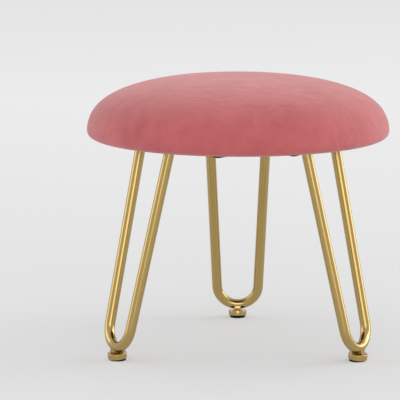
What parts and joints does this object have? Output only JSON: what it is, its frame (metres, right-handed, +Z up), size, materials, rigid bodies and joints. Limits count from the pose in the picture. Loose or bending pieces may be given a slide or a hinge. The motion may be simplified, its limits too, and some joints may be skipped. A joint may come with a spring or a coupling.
{
  "type": "round footstool",
  "caption": "Low round footstool with a domed velvet seat on splayed hairpin rod legs, each standing on a screw-in levelling foot.",
  "frame": {"origin": "on the floor, under the middle of the seat", "axes": "+Z up along the seat's axis, +Y towards the rear leg, -Y towards the viewer of the picture"},
  "size_m": [0.38, 0.38, 0.3456],
  "materials": {
    "velvet": "matte",
    "foam": "matte",
    "plywood": "matte",
    "non_woven": "matte",
    "gold": "satin",
    "black_rubber": "matte",
    "zinc": "satin"
  },
  "bodies": {
    "stool": {"velvet_cover": "velvet", "foam_pad": "foam", "seat_board": "plywood", "dust_cover": "non_woven", "hairpin_left": "gold", "leg_plate_left": "gold", "plate_screw_left_1": "zinc", "tee_nut_left_1": "zinc", "plate_screw_left_2": "zinc", "tee_nut_left_2": "zinc", "plate_screw_left_3": "zinc", "tee_nut_left_3": "zinc", "plate_screw_left_4": "zinc", "tee_nut_left_4": "zinc", "foot_collar_left": "gold", "hairpin_right": "gold", "leg_plate_right": "gold", "plate_screw_right_1": "zinc", "tee_nut_right_1": "zinc", "plate_screw_right_2": "zinc", "tee_nut_right_2": "zinc", "plate_screw_right_3": "zinc", "tee_nut_right_3": "zinc", "plate_screw_right_4": "zinc", "tee_nut_right_4": "zinc", "foot_collar_right": "gold", "hairpin_rear": "gold", "leg_plate_rear": "gold", "plate_screw_rear_1": "zinc", "tee_nut_rear_1": "zinc", "plate_screw_rear_2": "zinc", "tee_nut_rear_2": "zinc", "plate_screw_rear_3": "zinc", "tee_nut_rear_3": "zinc", "plate_screw_rear_4": "zinc", "tee_nut_rear_4": "zinc", "foot_collar_rear": "gold"},
    "glide_left": {"foot_pad_left": "black_rubber"},
    "foot_left": {"foot_disc_left": "gold", "foot_stud_left": "gold"},
    "glide_right": {"foot_pad_right": "black_rubber"},
    "foot_right": {"foot_disc_right": "gold", "foot_stud_right": "gold"},
    "glide_rear": {"foot_pad_rear": "black_rubber"},
    "foot_rear": {"foot_disc_rear": "gold", "foot_stud_rear": "gold"}
  },
  "joints": [
    {"name": "left_foot_height", "type": "slide", "parent": "stool", "child": "glide_left", "axis": [0.0905, 0.0523, -0.9945], "range_m": [0, 0.005]},
    {"name": "left_foot_turn", "type": "hinge", "parent": "glide_left", "child": "foot_left", "pos_m": [-0.14924, -0.08617, 0.00597], "axis": [0.0905, 0.0523, -0.9945], "range_deg": [0, 1800]},
    {"name": "right_foot_height", "type": "slide", "parent": "stool", "child": "glide_right", "axis": [-0.0905, 0.0523, -0.9945], "range_m": [0, 0.005]},
    {"name": "right_foot_turn", "type": "hinge", "parent": "glide_right", "child": "foot_right", "pos_m": [0.14924, -0.08617, 0.00597], "axis": [-0.0905, 0.0523, -0.9945], "range_deg": [0, 1800]},
    {"name": "rear_foot_height", "type": "slide", "parent": "stool", "child": "glide_rear", "axis": [0, -0.1045, -0.9945], "range_m": [0, 0.005]},
    {"name": "rear_foot_turn", "type": "hinge", "parent": "glide_rear", "child": "foot_rear", "pos_m": [0, 0.17233, 0.00597], "axis": [0, -0.1045, -0.9945], "range_deg": [0, 1800]}
  ],
  "couplings": [
    {"joint": "left_foot_height", "follows": "left_foot_turn", "m_per_rad": 0.00015915},
    {"joint": "right_foot_height", "follows": "right_foot_turn", "m_per_rad": 0.00015915},
    {"joint": "rear_foot_height", "follows": "rear_foot_turn", "m_per_rad": 0.00015915}
  ]
}
